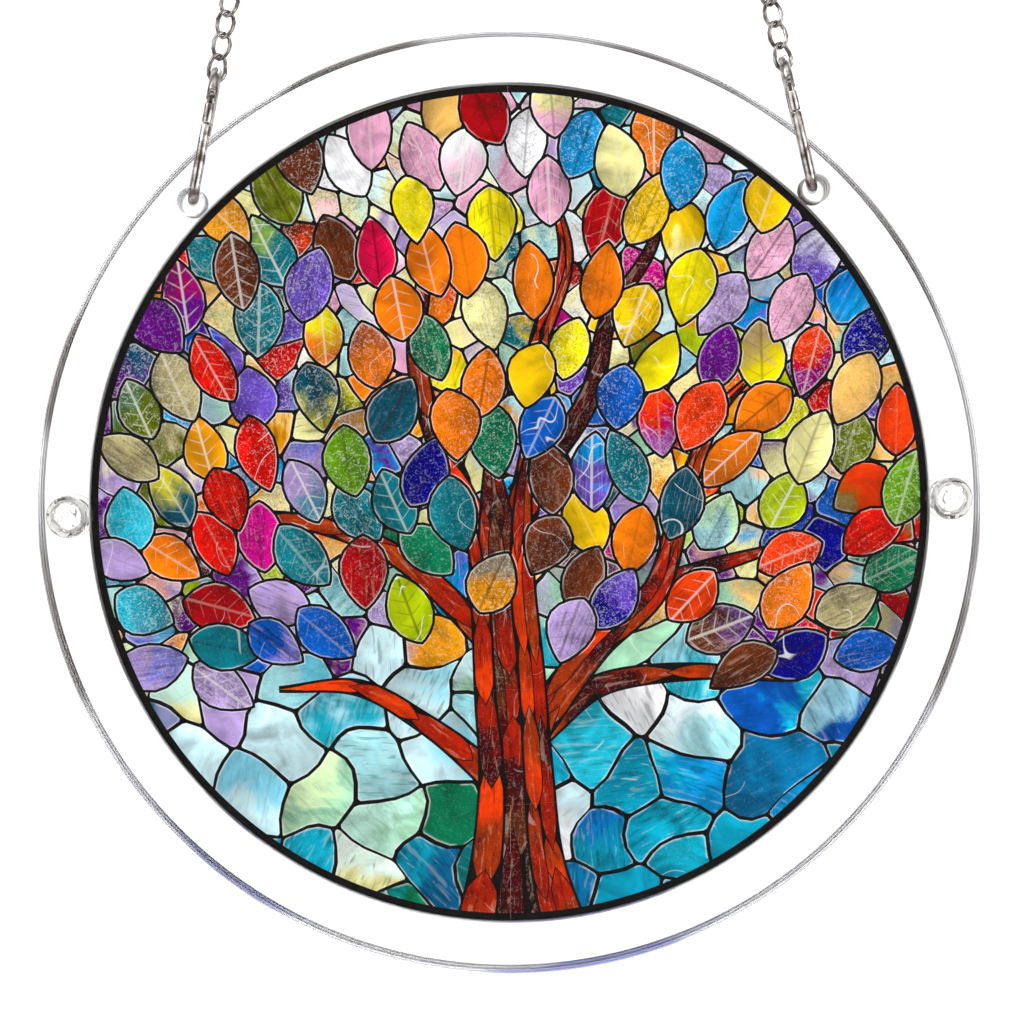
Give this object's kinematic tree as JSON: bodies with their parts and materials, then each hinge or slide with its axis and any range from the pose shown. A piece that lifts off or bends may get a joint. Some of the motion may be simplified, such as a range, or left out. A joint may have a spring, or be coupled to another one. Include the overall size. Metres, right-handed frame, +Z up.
{
  "type": "acrylic puzzle suncatcher",
  "caption": "Round clear acrylic case with a stained-glass style jigsaw puzzle inside, clear rivets, snap hooks and a chain to hang it in a window.",
  "frame": {"origin": "middle of the link that lies over the hanger, at the top of the chain", "axes": "+Z up, the front of the picture faces -Y, +X to the right seen from the front"},
  "size_m": [0.2, 0.0146, 0.463],
  "materials": {
    "clear_acrylic": "clear cast acrylic sheet, polished faces, laser-cut edge",
    "clear_rivet": "clear moulded plastic",
    "hook_steel": "bright plated steel wire",
    "chain_steel": "bright plated steel wire",
    "glass_bark": "translucent printed acrylic",
    "glass_blue": "translucent printed acrylic",
    "glass_green": "translucent printed acrylic",
    "glass_orange": "translucent printed acrylic",
    "glass_pale_aqua": "translucent printed acrylic",
    "glass_purple": "translucent printed acrylic",
    "glass_red": "translucent printed acrylic",
    "glass_teal": "translucent printed acrylic",
    "glass_water_blue": "translucent printed acrylic",
    "glass_water_teal": "translucent printed acrylic",
    "glass_yellow": "translucent printed acrylic"
  },
  "bodies": {
    "case": {"front_panel": "clear_acrylic", "border_ring": "clear_acrylic", "back_panel": "clear_acrylic", "rivet_left": "clear_rivet", "rivet_right": "clear_rivet", "hook_left": "hook_steel", "hook_right": "hook_steel", "chain_left": "chain_steel", "chain_right": "chain_steel", "chain_middle_link": "chain_steel", "puzzle_piece_01": "glass_bark", "puzzle_piece_02": "glass_yellow", "puzzle_piece_03": "glass_green", "puzzle_piece_04": "glass_teal", "puzzle_piece_05": "glass_blue", "puzzle_piece_06": "glass_bark", "puzzle_piece_07": "glass_red", "puzzle_piece_08": "glass_orange", "puzzle_piece_09": "glass_yellow", "puzzle_piece_10": "glass_green", "puzzle_piece_11": "glass_teal", "puzzle_piece_12": "glass_blue", "puzzle_piece_13": "glass_purple", "puzzle_piece_14": "glass_red", "puzzle_piece_15": "glass_water_teal", "puzzle_piece_16": "glass_pale_aqua", "puzzle_piece_17": "glass_bark", "puzzle_piece_18": "glass_water_teal", "puzzle_piece_19": "glass_blue", "puzzle_piece_20": "glass_purple", "puzzle_piece_21": "glass_red", "puzzle_piece_22": "glass_orange", "puzzle_piece_23": "glass_yellow", "puzzle_piece_24": "glass_green", "puzzle_piece_25": "glass_teal", "puzzle_piece_26": "glass_blue", "puzzle_piece_27": "glass_purple", "puzzle_piece_28": "glass_red", "puzzle_piece_29": "glass_orange", "puzzle_piece_30": "glass_yellow", "puzzle_piece_31": "glass_pale_aqua", "puzzle_piece_32": "glass_water_blue", "puzzle_piece_33": "glass_bark", "puzzle_piece_34": "glass_bark", "puzzle_piece_35": "glass_water_blue", "puzzle_piece_36": "glass_water_teal", "puzzle_piece_37": "glass_yellow"},
    "gate_left": {"hook_left_gate": "hook_steel"},
    "gate_right": {"hook_right_gate": "hook_steel"}
  },
  "joints": [
    {"name": "hook_left_gate_hinge", "type": "hinge", "parent": "case", "child": "gate_left", "pos_m": [-0.06026, -0.00624, -0.27374], "axis": [0.9685, 0.1392, -0.2065], "range_deg": [0, 45], "stiffness_Nm_per_rad": 0.004},
    {"name": "hook_right_gate_hinge", "type": "hinge", "parent": "case", "child": "gate_right", "pos_m": [0.06026, -0.00624, -0.27374], "axis": [0.9685, -0.1392, 0.2065], "range_deg": [0, 45], "stiffness_Nm_per_rad": 0.004}
  ]
}
